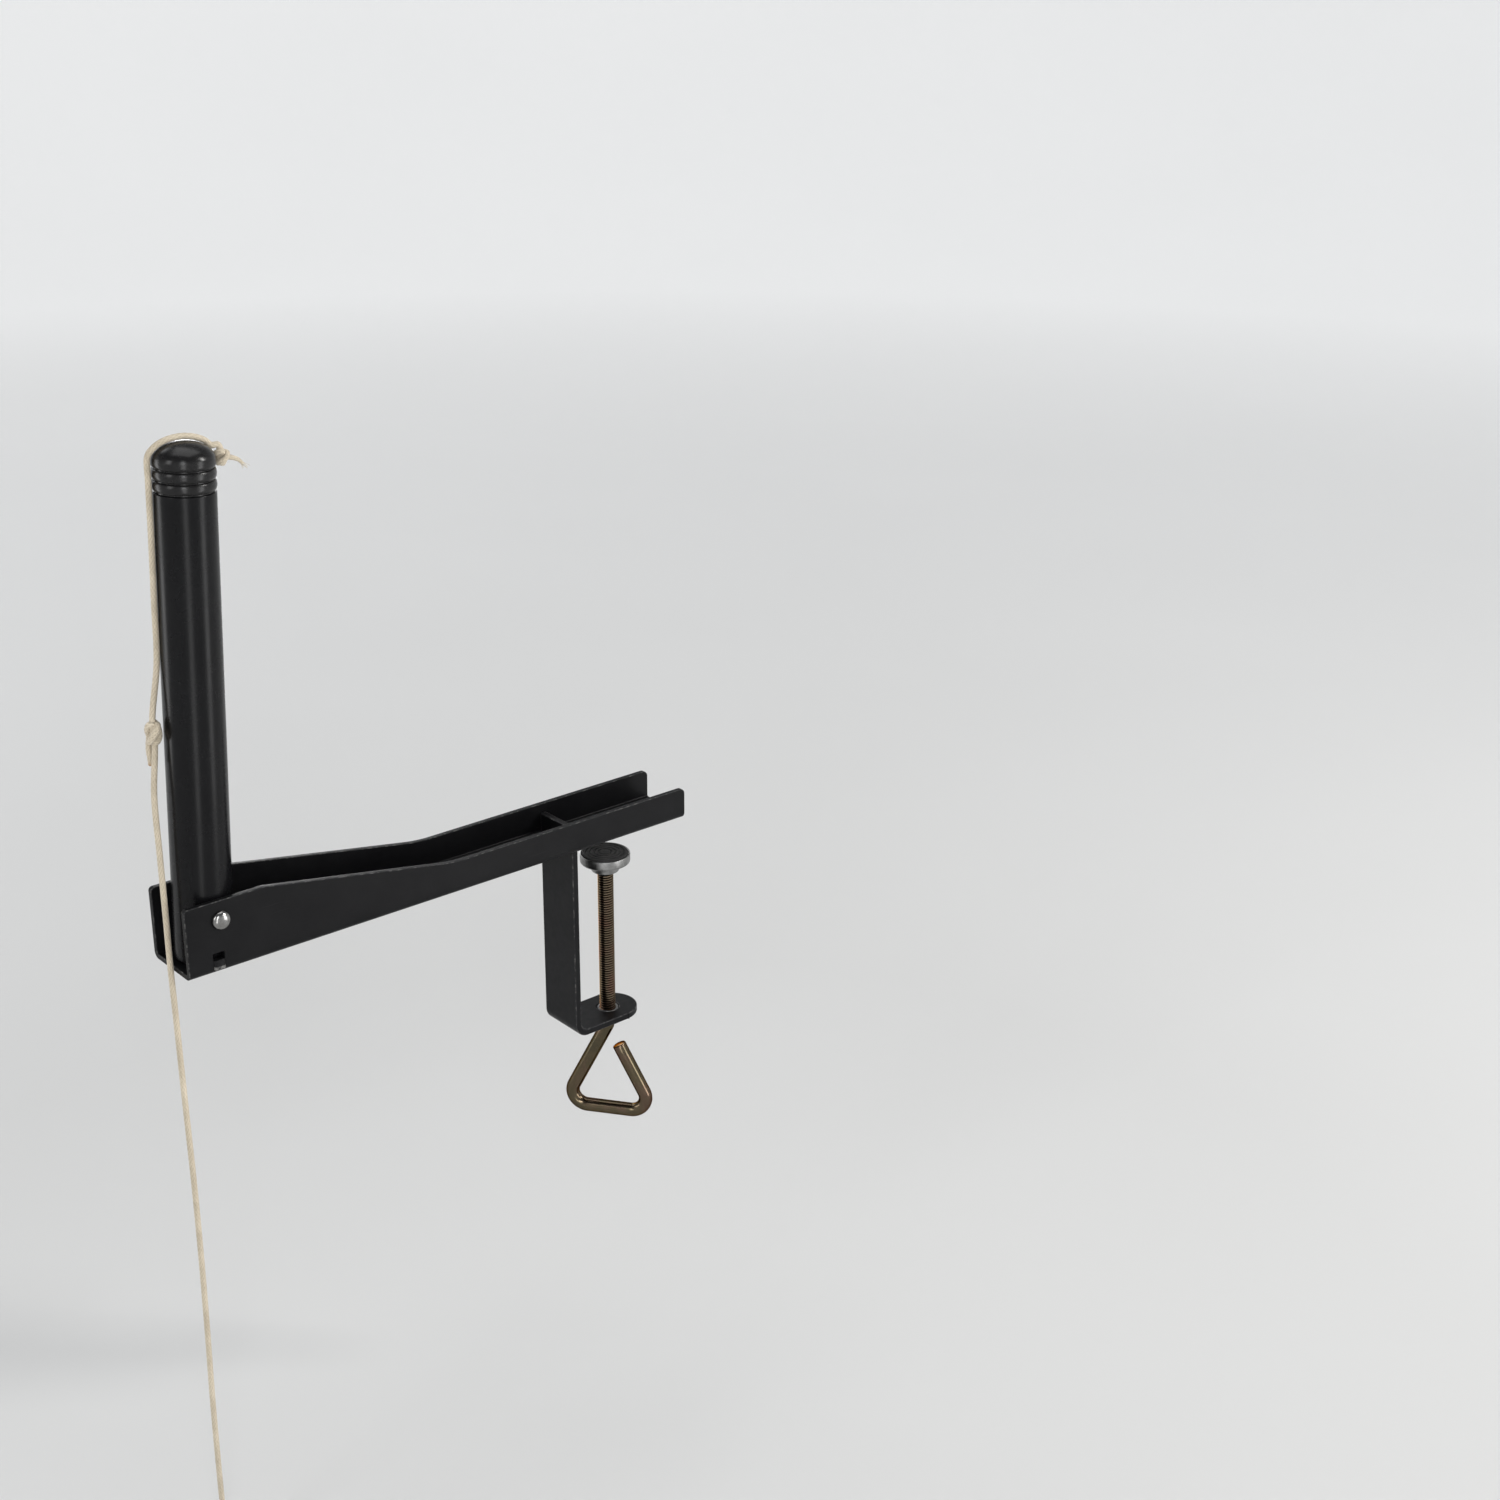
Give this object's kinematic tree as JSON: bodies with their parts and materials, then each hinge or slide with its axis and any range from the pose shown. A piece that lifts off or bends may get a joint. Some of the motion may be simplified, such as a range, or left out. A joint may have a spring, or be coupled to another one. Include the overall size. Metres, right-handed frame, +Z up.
{
  "type": "table tennis net clamp",
  "caption": "Net post on a pressed steel channel arm, with a table-edge screw clamp turned by a bent-rod handle and a tension cord over the ribbed post cap.",
  "frame": {"origin": "where the clamp screw's axis meets the arm's underside, the face that sits on the table top", "axes": "+Z up, +X along the net towards the middle of the table, -X outboard towards the post, +Y across the net"},
  "size_m": [0.2084, 0.0288, 0.3995],
  "materials": {
    "black_powder_coat": "satin black powder coat on pressed steel",
    "black_gloss_paint": "gloss black paint on steel tube",
    "black_plastic": "moulded black plastic, semi-gloss",
    "bright_steel": "bright zinc-plated rivet",
    "yellow_zinc": "yellow-passivated zinc plate",
    "zinc_steel": "dull zinc plate",
    "black_rubber": "matt black rubber",
    "cream_cord": "braided cream polyester cord"
  },
  "bodies": {
    "frame": {"arm_channel": "black_powder_coat", "clamp_strap": "black_powder_coat", "strap_weld_near": "black_powder_coat", "strap_weld_far": "black_powder_coat", "jaw_bush": "zinc_steel", "post_tube": "black_gloss_paint", "post_cap": "black_plastic", "post_rivet": "bright_steel", "cord_over_cap": "cream_cord", "cord_drop": "cream_cord", "cord_knot_cap": "cream_cord", "cord_knot_mid": "cream_cord", "cord_knot_end": "cream_cord", "cord_tail_cap": "cream_cord", "cord_tail_mid": "cream_cord"},
    "pad": {"pressure_pad": "zinc_steel", "pad_facing": "black_rubber"},
    "screw": {"screw_handle": "yellow_zinc"}
  },
  "joints": [
    {"name": "screw_travel", "type": "slide", "parent": "frame", "child": "pad", "axis": [0, 0, 1], "range_m": [-0.056, 0.001]},
    {"name": "screw_spin", "type": "hinge", "parent": "pad", "child": "screw", "pos_m": [0, 0, -0.05], "axis": [0, 0, 1], "range_deg": [-20162, 362]}
  ],
  "couplings": [
    {"joint": "screw_spin", "follows": "screw_travel", "rad_per_m": 6283.2}
  ]
}
